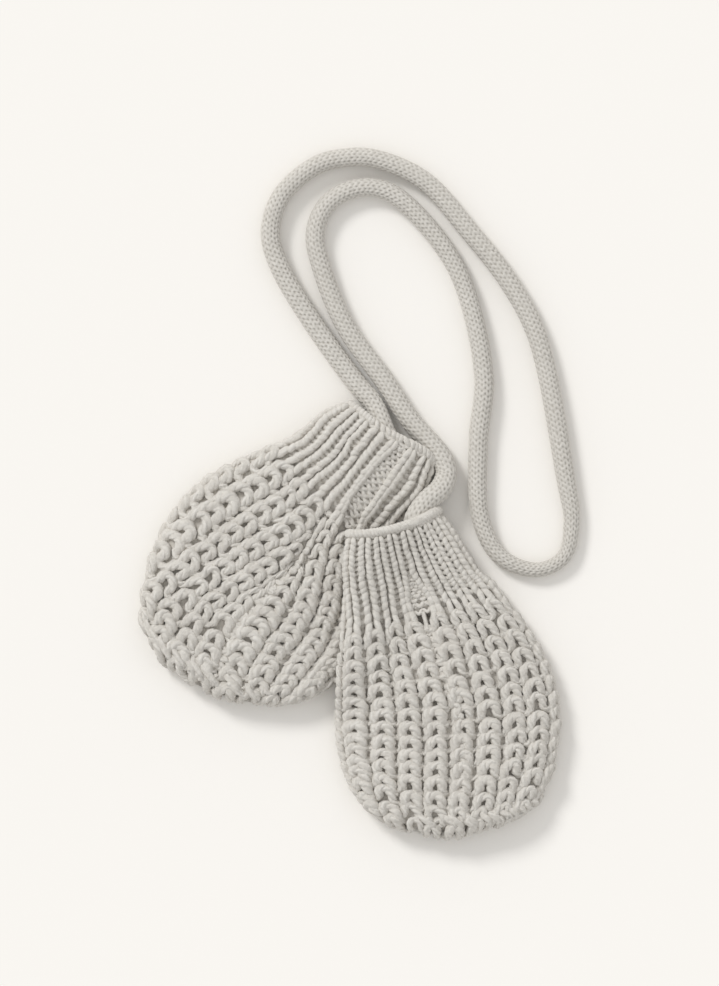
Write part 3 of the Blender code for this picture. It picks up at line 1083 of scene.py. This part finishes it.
        # The last span runs on past the last column, so the columns are unrolled before the curve is run.
        fine = self.run(table, total)
        turns = self.form.turn(fine[:, 0], np.clip(fine[:, 1], *self.reach))
        width = self.column_width(along, fine[:, 0]) / self.stitch.width
        size = np.clip(width**self.radius_power, *self.size_limits)
        sink = self.sink(turns) + self.narrow_sink * (1 - smooth_step(*self.squeezed, width))
        fine[:, 1] = np.clip(fine[:, 1], self.form.alongs[0], 2.0)
        points = self.form.place(fine[:, 0], fine[:, 1], fine[:, 2] * MM * size - sink, self.reach)
        radii = fine[:, 3] * MM * size
        points[:, 2] = np.maximum(points[:, 2], self.floor_gap + radii)
        return points, radii, fine[:, 4]

    def run(self, table: np.ndarray, total: int) -> np.ndarray:
        """Return the course's smooth closed line in the knitting's own coordinates.

        Args:
            table: Its knots: column, place, height, radius and tone.
            total: Columns round the mitten.

        Returns:
            The same values for each point of the line.
        """
        offset = np.zeros_like(table)
        offset[:, 0] = np.linspace(0, total, len(table), endpoint=False)
        fine = closed_spline(table - offset, self.samples)
        fine[:, 0] += np.linspace(0, total, len(fine), endpoint=False)
        return fine

    def column_width(self, along: float, column: np.ndarray) -> np.ndarray:
        """Return the real width of each point's column at a row.

        Args:
            along: The row's place.
            column: The points' places round the knitting.

        Returns:
            One width for each point.
        """
        edges = np.arange(2 * COLUMNS + 1, dtype=float)
        edges[-1] -= 1e-6
        row = np.full(len(edges), along)
        points = self.form.place(edges, row, np.zeros(len(edges)), self.reach)
        widths = np.linalg.norm(np.diff(points, axis=0), axis=1)
        middles = np.concatenate([[-0.5], edges[:-1] + 0.5, [2 * COLUMNS + 0.5]])
        return np.interp(np.mod(column, 2 * COLUMNS), middles, [widths[-1], *widths, widths[0]])

    def sink(self, turns: np.ndarray) -> np.ndarray:
        """Return how far the yarn lies deeper at the edges and below than on the upper side.

        Args:
            turns: The points' turns round the mitten.

        Returns:
            One depth for each point.
        """
        turns = np.mod(turns, 2)
        edge = np.where(turns <= 1, np.minimum(turns, 1 - turns), np.maximum(1 - turns, turns - 2))
        above, below = self.edge_reach
        upper = self.edge_sink * (1 - smooth_step(0.0, above, edge))
        lower = self.edge_sink + (self.lower_sink - self.edge_sink) * smooth_step(0.0, below, -edge)
        return np.where(turns <= 1, upper, lower)


@dataclass
class ClothWall(Dressing):
    """The thin closed wall of cloth under a mitten's yarn, which is the sheet that its maker knitted.

    Attributes:
        first: Place of its first edge.
        last: Place of its last edge, or 2 for a closed tip.
        inset: Depth of its outer face.
        pit_place: Where along the mitten the dent behind the opening's two holes is.
        pit_reach: How far it spreads, in columns and along the mitten.
    """

    first: float
    last: float
    inset: float
    thickness: float = 0.8 * MM
    pit_place: float = 1.028
    pit_reach: tuple[float, float] = (0.28, 0.035)
    steps: int = 80
    rows: int = 30

    def build(self) -> bpy.types.Object:
        """Wrap a grid round the form, close it and give it a thickness.

        Returns:
            The linked wall.
        """
        mesh = bmesh.new()
        bmesh.ops.create_grid(mesh, x_segments=self.steps, y_segments=self.rows, size=0.5)
        flat = np.array([vertex.co for vertex in mesh.verts])
        column = (flat[:, 0] + 0.5) * 2 * COLUMNS
        share = flat[:, 1] + 0.5
        along = self.first + share * (self.last - self.first)
        opening = self.form.opening
        near_column = np.clip(1 - np.abs(column - opening.column) / self.pit_reach[0], 0, 1)
        near_place = np.clip(1 - np.abs(along - self.pit_place) / self.pit_reach[1], 0, 1)
        placed = self.form.place(column, along, -self.inset - opening.pit * near_column * near_place)
        for vertex, point in zip(mesh.verts, placed):
            vertex.co = point
        bmesh.ops.remove_doubles(mesh, verts=mesh.verts[:], dist=0.01 * MM)
        if self.last >= 2.0:
            self.close_tip(mesh)
        bmesh.ops.recalc_face_normals(mesh, faces=mesh.faces[:])
        bmesh.ops.triangulate(mesh, faces=[f for f in mesh.faces if len(f.verts) > 4])
        data = bpy.data.meshes.new(self.name)
        mesh.to_mesh(data)
        mesh.free()
        data.shade_smooth()
        data.materials.append(self.finish.material())
        item = link(bpy.data.objects.new(self.name, data))
        wall = item.modifiers.new("wall", "SOLIDIFY")
        wall.thickness = self.thickness
        wall.offset = -1.0
        return item

    @staticmethod
    def close_tip(mesh: bmesh.types.BMesh) -> None:
        """Fill the slit at the tip, the one of the wall's two open edges that lies lower in the photo.

        Args:
            mesh: The wall's outer face.
        """
        loops: list[set] = []
        boundary = {edge for edge in mesh.edges if edge.is_boundary}
        while boundary:
            queue, found = [next(iter(boundary))], set()
            while queue:
                edge = queue.pop()
                if edge in found:
                    continue
                found.add(edge)
                queue += [e for v in edge.verts for e in v.link_edges if e in boundary and e not in found]
            boundary -= found
            loops.append(found)
        lowest = min(loops, key=lambda loop: np.mean([v.co.y for edge in loop for v in edge.verts]))
        bmesh.ops.holes_fill(mesh, edges=[edge for edge in mesh.edges if edge in lowest], sides=0)


# The mittens


@dataclass
class Rim(Thread):
    """The rounded cast on edge: strands of yarn that wind round each other along the mouth.

    Attributes:
        depth: How far the middle of the strands lies under the form.
        winding: How far each strand lies from that middle.
        turns: How often they wind round each other.
        wander: How far the middle strays.
        wander_points: Over how many points that is evened out.
        cuff_length: Length of the cuff, by which places along it are measured.
    """

    depth: float
    winding: float = 0.9 * MM
    radius: float = 1.12 * MM
    strands: int = 2
    turns: int = 34
    wander: float = 0.5 * MM
    wander_points: int = 15
    cuff_length: float = 38 * MM
    points: int = 440
    sides: ClassVar[int] = 8

    def lay(self, yarn: Yarn, random: np.random.RandomState) -> None:
        """Wind the strands round each other."""
        column = np.linspace(0, 2 * COLUMNS, self.points, endpoint=False)
        even = np.ones(self.wander_points) / self.wander_points
        wander = np.convolve(np.tile(random.normal(0, 1, self.points), 3), even, "same")
        wander = wander[self.points : 2 * self.points] * self.wander
        for strand in range(self.strands):
            angle = column / (2 * COLUMNS) * 2 * np.pi * self.turns + strand * 2 * np.pi / self.strands
            height = -self.depth + self.winding * np.cos(angle) + wander
            along = self.winding * np.sin(angle) / self.cuff_length
            points = self.form.place(column, along, height)
            points[:, 2] = np.maximum(points[:, 2], self.radius)
            yarn.add(points, np.full(self.points, self.radius), np.zeros(self.points))


@dataclass
class Ladder(Thread):
    """The purl side's short bars in the strip where a cuff opens.

    Attributes:
        bars_per_cuff: Bars for the whole length of a cuff.
        half_reach: Half its length, in columns.
        end_drop: How much deeper its ends lie.
        sway: How far the bumps reach along the cuff.
    """

    bars_per_cuff: int = 26
    waves: float = 2.5
    half_reach: float = 0.15
    depth: float = 0.85 * MM
    bump: float = 0.3 * MM
    end_drop: float = 0.8 * MM
    sway: float = 0.0100
    radius: float = 0.92 * MM
    phase_stray: float = 0.35
    along_stray: float = 0.002
    size_stray: float = 0.15
    tie_depth: float = 0.6 * MM
    points: int = 21
    tie_points: int = 7
    twist_pitch: ClassVar[float] = 4 * MM

    def lay(self, yarn: Yarn, random: np.random.RandomState) -> None:
        """Lay the bars across the strip, and the strand that ties it off."""
        opening = self.form.opening
        across = np.linspace(-1, 1, self.points)
        bars = round((opening.last - opening.first) * self.bars_per_cuff)
        places = np.linspace(opening.first, opening.last, bars)
        if opening.tie:
            places = np.append(places, opening.last + opening.tie)
        for bar, place in enumerate(places):
            phase = (across * self.waves + bar % 2) * np.pi + random.normal(0, self.phase_stray)
            along = place + self.sway * np.cos(phase) + random.normal(0, self.along_stray)
            column = opening.column + self.half_reach * across
            height = -self.depth + self.bump * np.cos(phase) - self.end_drop * np.abs(across) ** 4
            size = self.radius * random.uniform(1 - self.size_stray, 1 + self.size_stray)
            points = self.form.place(column, along, height)
            tones = np.full(self.points, random.normal(0, TONE_STRAY))
            yarn.add(points, np.full(self.points, size), tones, closed=False)
        if opening.tie:
            count = self.tie_points
            down = np.linspace(opening.last, opening.last + opening.tie, count)
            points = self.form.place(np.full(count, opening.column), down, np.full(count, -self.tie_depth))
            yarn.add(points, np.full(count, self.radius), np.zeros(count), closed=False)


class Valley(NamedTuple):
    """A sewn valley between two columns of a hand: its column and its place at its two ends."""

    first_column: float
    last_column: float
    first: float
    last: float


@dataclass
class Seam(Thread):
    """A strand that is sewn to and fro along a valley.

    Attributes:
        stitches_per_hand: Stitches to and fro for the whole length of a hand.
        reach: How far it goes to each side, in columns.
        high: Depth of its knots on the one side.
        low: Depth of its knots on the other side.
        reach_stray: Its least and greatest reach as a share of the usual one.
        size_stray: The same for its radius.
    """

    valley: Valley
    stitches_per_hand: int = 28
    reach: float = 0.22
    radius: float = 1.2 * MM
    high: float = 0.1 * MM
    low: float = 2.0 * MM
    per_stitch: int = 8
    reach_stray: tuple[float, float] = (0.5, 1.3)
    size_stray: tuple[float, float] = (0.75, 1.25)
    along_stray: float = 0.008
    height_stray: float = 0.3 * MM
    sides: ClassVar[int] = 8
    twist_pitch: ClassVar[float] = 9 * MM

    def lay(self, yarn: Yarn, random: np.random.RandomState) -> None:
        """Sew the strand to and fro."""
        first_column, last_column, first, last = self.valley
        knots = 2 * round((last - first) * self.stitches_per_hand)
        odd = np.arange(knots) % 2
        share = np.linspace(0, 1, knots)
        column = first_column + share * (last_column - first_column)
        column += np.where(odd, 1.0, -1.0) * self.reach * random.uniform(*self.reach_stray, knots)
        along = first + share * (last - first) + random.normal(0, self.along_stray, knots)
        height = -np.where(odd, self.high, self.low) + random.normal(0, self.height_stray, knots)
        size = self.radius * random.uniform(*self.size_stray, knots)
        table = np.column_stack([column, along, height, size])
        where = np.linspace(0, knots - 1, knots * self.per_stitch // 2)
        fine = smooth_curve(np.arange(knots), table, where)
        points = self.form.place(fine[:, 0], np.clip(fine[:, 1], 0, 2), fine[:, 2])
        yarn.add(points, fine[:, 3], np.zeros(len(fine)), closed=False)


@dataclass
class Gather(Thread):
    """The tip's gathering: strands that run to and fro over the last courses, drawn together.

    Attributes:
        columns: The band's first and last columns.
        half_width: How far the strands run to each side of it.
        end: The last place that they may reach.
        turns: Turns of each strand for each column.
        lean: How far each turn leans, in columns.
        high: Depth of the strands where they lie on top.
        low: Depth where they run under.
        strays: How far a turn strays: in phase, in place, in height and in tone.
    """

    columns: tuple[float, float]
    place: float = 1.925
    half_width: float = 0.030
    end: float = 1.985
    strands: int = 2
    turns: float = 1.1
    lean: float = 0.22
    high: float = -0.6 * MM
    low: float = 1.5 * MM
    radius: float = 1.45 * MM
    strays: tuple[float, float, float, float] = (0.12, 0.45, 0.6, 0.04)
    per_turn: int = 10

    def lay(self, yarn: Yarn, random: np.random.RandomState) -> None:
        """Draw the strands to and fro over the tip."""
        first, last = self.columns
        phase_stray, place_stray, height_stray, tone_stray = self.strays
        turns = round((last - first) * self.turns)
        count = turns * self.per_turn + 1
        for strand in range(self.strands):
            turn = np.linspace(0, turns, count)
            wander = np.interp(turn, np.arange(turns + 1), random.normal(0, 1, turns + 1))
            phase = 2 * np.pi * (turn + strand / self.strands + phase_stray * wander)
            column = first + (last - first) * turn / turns + self.lean * np.sin(2 * phase)
            along = self.place + self.half_width * (np.sin(phase) + place_stray * wander)
            rise = (np.cos(phase + height_stray * wander) + 1) / 2
            ends = smooth_step(0, 0.5, turn) * smooth_step(turns, turns - 0.5, turn)
            height = -self.low + (self.low - self.high) * rise * ends - self.low * (1 - ends)
            points = self.form.place(column, np.minimum(along, self.end), height)
            points[:, 2] = np.maximum(points[:, 2], self.radius)
            yarn.add(points, np.full(count, self.radius), tone_stray * wander, closed=False)


@dataclass
class Mitten:
    """One mitten: its cuff and its hand, each a cloth wall with yarn over it.

    Attributes:
        cuff_cut: The cuff's flat size, round it and along it.
        hand_cut: The hand's flat size, round it and along it.
        seed: Start of its unevenness.
        cuff_filled: The cuff's first column whose groove is shallow, and the one after the last.
        hand_filled: The same of the hand.
        rim_depth: How far the rim's middle lies under the form.
        gather: The first and the last column of the tip's gathering.
        rests_on: What it lies on.
        courses: Number of courses of the cuff, and of the hand.
    """

    side: Side
    form: Form
    cuff_cut: tuple[float, float]
    hand_cut: tuple[float, float]
    seed: int
    valley: Valley
    cuff_filled: tuple[int, int]
    hand_filled: tuple[int, int]
    rim_depth: float
    gather: tuple[float, float]
    rests_on: tuple[str, ...] = ("floor",)
    courses: int = 15

    def build(self, wool: WoolFinish, fine_wool: WoolFinish, shaded_inner_wool: WoolFinish) -> None:
        """Make all of the mitten's pieces.

        Args:
            wool: The hand's yarn.
            fine_wool: The cuff's yarn.
            shaded_inner_wool: The cloth walls.
        """
        form, seed = self.form, self.seed
        cloth = ClothWall(
            self.name("cuff_cloth"), form, shaded_inner_wool, first=0.03, last=0.99, inset=1.55 * MM
        ).build()
        knitting = Knitting(
            self.name("cuff_yarn"), form, fine_wool, seed, FINE, first=0.078, last=0.975, rows=self.courses,
            lower_sink=1.1 * MM, edge_sink=1.0 * MM, twist_pitch=6 * MM, uneven=0.65, reach=(-1.0, 0.98),
            filled=self.cuff_filled,
        )
        rim = Rim(self.name("rim_yarn"), form, fine_wool, seed + 1, self.rim_depth)
        ladder = Ladder(self.name("ladder_yarn"), form, fine_wool, seed + 3)
        self.finish_part("cuff", cloth, [*knitting.build(), rim.build(), ladder.build()], self.cuff_cut)

        knitting = Knitting(
            self.name("hand_yarn"), form, wool, seed + 2, CHUNKY, first=1.045, last=1.955, rows=self.courses,
            lower_sink=1.7 * MM, edge_sink=1.5 * MM, twist_pitch=10 * MM, uneven=1.1, reach=(1.03, 2.0),
            filled=self.hand_filled, filled_groove=(-1.3, 1.85), filled_spread=1.04,
            sides=6, strands=3, parts=2,
        )
        seam = Seam(self.name("seam_yarn"), form, wool, seed + 4, self.valley)
        gather = Gather(self.name("gather_yarn"), form, wool, seed + 5, self.gather)
        yarns = [*knitting.build(), seam.build(), gather.build()]
        cloth = ClothWall(
            self.name("hand_cloth"), form, shaded_inner_wool, first=0.982, last=2.0, inset=1.95 * MM
        ).build()
        self.finish_part("hand", cloth, yarns, self.hand_cut)

    def name(self, part: str) -> str:
        """Return the name of one of the mitten's pieces."""
        return f"{self.side.value}_{part}"

    def finish_part(
        self,
        part: str,
        cloth: bpy.types.Object,
        yarns: list[bpy.types.Object],
        cut: tuple[float, float],
    ) -> None:
        """Ride and replace one part's cloth and yarn.

        Args:
            part: The part's name.
            cloth: Its wall.
            yarns: The yarn over it.
            cut: Its flat size, round it and along it; not used.
        """
        for piece in [cloth, *yarns]:
            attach(piece, BODY)
            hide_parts(self.name(part))
        list(self.rests_on)
        LOG.info("%s: %d pieces of yarn over its cloth", self.name(part), len(yarns))


# The cord


@dataclass
class Cord:
    """The knitted cord: a tube along the route, its skin knitted in relief.

    Attributes:
        diameter: The cord's usual diameter.
        columns: Stitches round it.
        row_pitch: Length of one stitch along it.
        relief: Depth of the dots between the stitches.
        sizes: Places along the cord from 0 to 1, and its thickness there as a share of the usual one.
        resting: Heights of its middle between which it stops to lie on the floor.
        stray: How far a stitch strays along the cord.
        dot: Half width of a dot, as shares of a stitch across and along.
        groove: Depth of the groove beside a stitch's leg as a share of a dot's, and its half width.
        tone: Painted light and shade: how much lighter the crests and darker the dots and grooves are
            painted, and the level that has the wool's own tone.
    """

    diameter: float = 8.3 * MM
    columns: int = 8
    row_pitch: float = 2.25 * MM
    rings_per_row: int = 4
    sides: int = 64
    relief: float = 0.8 * MM
    sizes: tuple[tuple[float, float], ...] = (
        (0.0, 0.42), (0.002, 0.80), (0.005, 0.99), (0.012, 1.05), (0.04, 1.03), (0.10, 1.02), (0.16, 0.97),
        (0.22, 0.96), (0.30, 1.0), (0.37, 1.0), (0.42, 1.0), (0.45, 0.93), (0.47, 0.83), (0.50, 0.77),
        (0.525, 0.86), (0.56, 0.95), (0.60, 1.0), (0.66, 0.97), (0.76, 0.95), (0.85, 1.0), (0.92, 1.05),
        (0.988, 1.05), (0.995, 0.99), (0.998, 0.80), (1.0, 0.42),
    )
    resting: tuple[float, float] = (4.5 * MM, 6 * MM)
    stray: float = 0.06
    dot: tuple[float, float] = (0.12, 0.24)
    groove: tuple[float, float] = (0.4, 0.14)
    tone: tuple[float, float] = (1.3, 0.85)
    route_steps: int = 2000
    seed: int = 5

    def route(self, count: int) -> tuple[np.ndarray, float]:
        """Measure the route.

        Args:
            count: Number of evenly spaced points.

        Returns:
            The points on the smooth route and its length.
        """
        knots = (np.array(CORD_ROUTE) - [*MIDDLE, 0.0]) * MM
        chords = np.sqrt(np.linalg.norm(np.diff(knots, axis=0), axis=1))
        places = np.concatenate([[0.0], np.cumsum(chords)])
        fine = smooth_curve(places, knots, np.linspace(0, places[-1], self.route_steps))
        length = np.concatenate([[0.0], np.cumsum(np.linalg.norm(np.diff(fine, axis=0), axis=1))])
        even = np.linspace(0, length[-1], count)
        points = np.column_stack([np.interp(even, length, fine[:, axis]) for axis in range(3)])
        return points, float(length[-1])

    def build(self, wool: WoolFinish) -> bpy.types.Object:
        """Args:
            wool: The cord's yarn.

        Returns:
            The linked cord.
        """
        _, length = self.route(2)
        rows = round(length / self.row_pitch)
        count = rows * self.rings_per_row + 1
        points, length = self.route(count)
        share = np.linspace(0, 1, count)
        size = smooth_curve([s[0] for s in self.sizes], np.array([[s[1]] for s in self.sizes]), share)[:, 0]
        radii = size * self.diameter / 2
        # Where the cord lies on the floor, a thinner part lies lower and a thicker one higher.
        points[:, 2] += (radii - self.diameter / 2) * (1 - smooth_step(*self.resting, points[:, 2]))
        yarn = Yarn("cord_knit", wool, self.sides, self.row_pitch)
        yarn.add(points, radii, np.zeros(count), closed=False)
        cord = yarn.build()
        self.knit(cord.data, points, radii, rows)
        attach(cord, BODY)
        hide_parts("cord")
        path = [tuple(float(x) for x in point) for point in points[:: self.rings_per_row]]
        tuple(path[0])
        LOG.info("cord: %.3f m, %d rows of %d stitches", length, rows, self.columns)
        return cord

    def knit(self, mesh: bpy.types.Mesh, points: np.ndarray, radii: np.ndarray, rows: int) -> None:
        """Raise the legs of the stitches out of the tube's skin, with painted shade in the dents between
        them and painted light on the crests.

        Args:
            mesh: The tube.
            points: The middles of its rings.
            radii: Their radii.
            rows: Number of stitches along it.
        """
        random = np.random.RandomState(self.seed)
        places = np.zeros(len(mesh.vertices) * 3)
        mesh.vertices.foreach_get("co", places)
        places = places.reshape(-1, 3)
        used = len(points) * self.sides
        ring = np.arange(used) // self.sides
        around = (np.arange(used) % self.sides) / self.sides * self.columns
        row = ring / self.rings_per_row
        column = around.astype(int) % self.columns
        stray = random.normal(0, self.stray, (rows + 3, self.columns))
        onward = row + stray[row.astype(int), column]
        across = np.abs(around - np.floor(around) - 0.5)
        level = np.ones(used)
        # A dot, dented and painted dark as shade, lies in the middle of each stitch, and between stitches
        # half a row further on.
        for middle, start in ((0.0, 0.5), (0.5, 0.0)):
            away = np.abs(np.mod(onward - start + 0.5, 1.0) - 0.5)
            dot = np.exp(-(((across - middle) / self.dot[0]) ** 2) - (away / self.dot[1]) ** 2)
            level = np.minimum(level, 1 - dot)
        depth, width = self.groove
        away = np.abs(np.mod(onward - across, 1.0) - 0.5)
        level = np.minimum(level, 1 - depth * np.exp(-((away / width) ** 2)))
        outward = places[:used] - points[ring]
        outward /= np.linalg.norm(outward, axis=1)[:, None]
        places[:used] = points[ring] + outward * (radii[ring] - self.relief * (1 - level))[:, None]
        mesh.vertices.foreach_set("co", places.ravel())
        # Painted light and shade: the tone makes the crests lighter and the dents and grooves darker.
        tone = np.zeros(len(mesh.vertices), dtype=np.float32)
        painted_shade_gain, plain = self.tone
        tone[:used] = painted_shade_gain * (level - plain)
        mesh.attributes["tone"].data.foreach_set("value", tone)
        mesh.update()


# The room


@dataclass
class Studio:
    """The pale floor, the soft light and the camera straight above."""

    centre: tuple[float, float] = (3.34 * MM, 50.77 * MM)
    view_height: float = 400.3 * MM
    distance: float = 3.0
    focus_height: float = 6 * MM
    sky: float = 0.72
    sun: float = 1.45
    sun_softness: float = math.radians(16)
    sun_from: tuple[float, float, float] = (-0.60, 0.70, 0.72)

    def place_camera(self) -> None:
        """Hang the camera over the middle of the photograph, looking straight down."""
        data = bpy.data.cameras.new("camera")
        data.sensor_width = 36.0
        data.lens = data.sensor_width * self.distance / self.view_height
        data.clip_end = 20.0
        camera = link(bpy.data.objects.new("camera", data))
        camera.location = (*self.centre, self.distance + self.focus_height)
        camera.rotation_euler = (0.0, 0.0, 0.0)
        bpy.context.scene.camera = camera
        bpy.context.scene.view_settings.view_transform = "Standard"

    def lay_floor(self, paper: PaperFinish) -> None:
        """Lay the floor under the mittens.

        Args:
            paper: Its finish.
        """
        mesh = bmesh.new()
        bmesh.ops.create_grid(mesh, x_segments=1, y_segments=1, size=3.0)
        data = bpy.data.meshes.new("floor")
        mesh.to_mesh(data)
        mesh.free()
        data.materials.append(paper.material())
        link(bpy.data.objects.new("floor", data))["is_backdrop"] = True

    def light(self) -> None:
        """Light the room evenly, with one large soft light from the upper left."""
        world = bpy.data.worlds.new("studio")
        world.use_nodes = True
        background = world.node_tree.nodes["Background"]
        background.inputs["Color"].default_value = (1.0, 1.0, 1.0, 1.0)
        background.inputs["Strength"].default_value = self.sky
        bpy.context.scene.world = world
        data = bpy.data.lights.new("window", "SUN")
        data.energy = self.sun
        data.angle = self.sun_softness
        lamp = link(bpy.data.objects.new("window", data))
        lamp.rotation_euler = Vector(self.sun_from).to_track_quat("Z", "Y").to_euler()


def write_sizes() -> None:
    """Measure the visual model's box and set it beside the CAD box; nothing is written."""
    boxes = {"cad": CAD_BOX, "visual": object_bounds()}
    {key: [[float(x) for x in corner] for corner in box] for key, box in boxes.items()}


def main() -> None:
    """Build the camera and the cord, then the mittens, the floor and the light."""
    studio = Studio()
    studio.place_camera()
    cord_wool = WoolFinish(
        "cord_wool_yarn", colour=(0.69, 0.662, 0.613), shade=(0.48, 0.452, 0.405),
        ply_shade=0.0, twist_depth=0.0, fuzz_depth=0.45,
    )
    Cord().build(cord_wool)

    wool = WoolFinish("hand_wool_yarn")
    fine_wool = WoolFinish("cuff_wool_yarn", plies=2, ply_shade=0.2, twist_depth=0.3)
    # The cloth walls' wool is painted a little darker than the yarn, as shade in the gaps between the
    # stitches.
    shaded_inner_wool = WoolFinish(
        "inner_wool_cloth", colour=(0.70, 0.665, 0.61), shade=(0.54, 0.505, 0.455),
        ply_shade=0.0, twist_depth=0.0,
    )
    left = Mitten(
        Side.LEFT, Form(LEFT_ROWS, LEFT_SPREADS, LEFT_OPENING, LEFT_SWELLS), seed=11,
        cuff_cut=(0.115, 0.038), hand_cut=(0.185, 0.095), valley=Valley(6.0, 6.0, 1.05, 1.9),
        cuff_filled=(0, 0), hand_filled=(0, 6), rim_depth=2.1 * MM, gather=(1.2, 8.4),
    )
    left.build(wool, fine_wool, shaded_inner_wool)
    right = Mitten(
        Side.RIGHT, Form(RIGHT_ROWS, RIGHT_SPREADS, RIGHT_OPENING, carrier=Carrier()), seed=31,
        cuff_cut=(0.115, 0.042), hand_cut=(0.19, 0.095), valley=Valley(4.0, 4.6, 1.06, 1.85),
        cuff_filled=(6, 11), hand_filled=(7, 10), rim_depth=1.4 * MM, gather=(2.7, 9.8),
    )
    right.build(wool, fine_wool, shaded_inner_wool)

    studio.lay_floor(PaperFinish())
    studio.light()


if __name__ == "__main__":
    logging.basicConfig(level=logging.INFO, format="%(message)s")
    main()
    write_sizes()
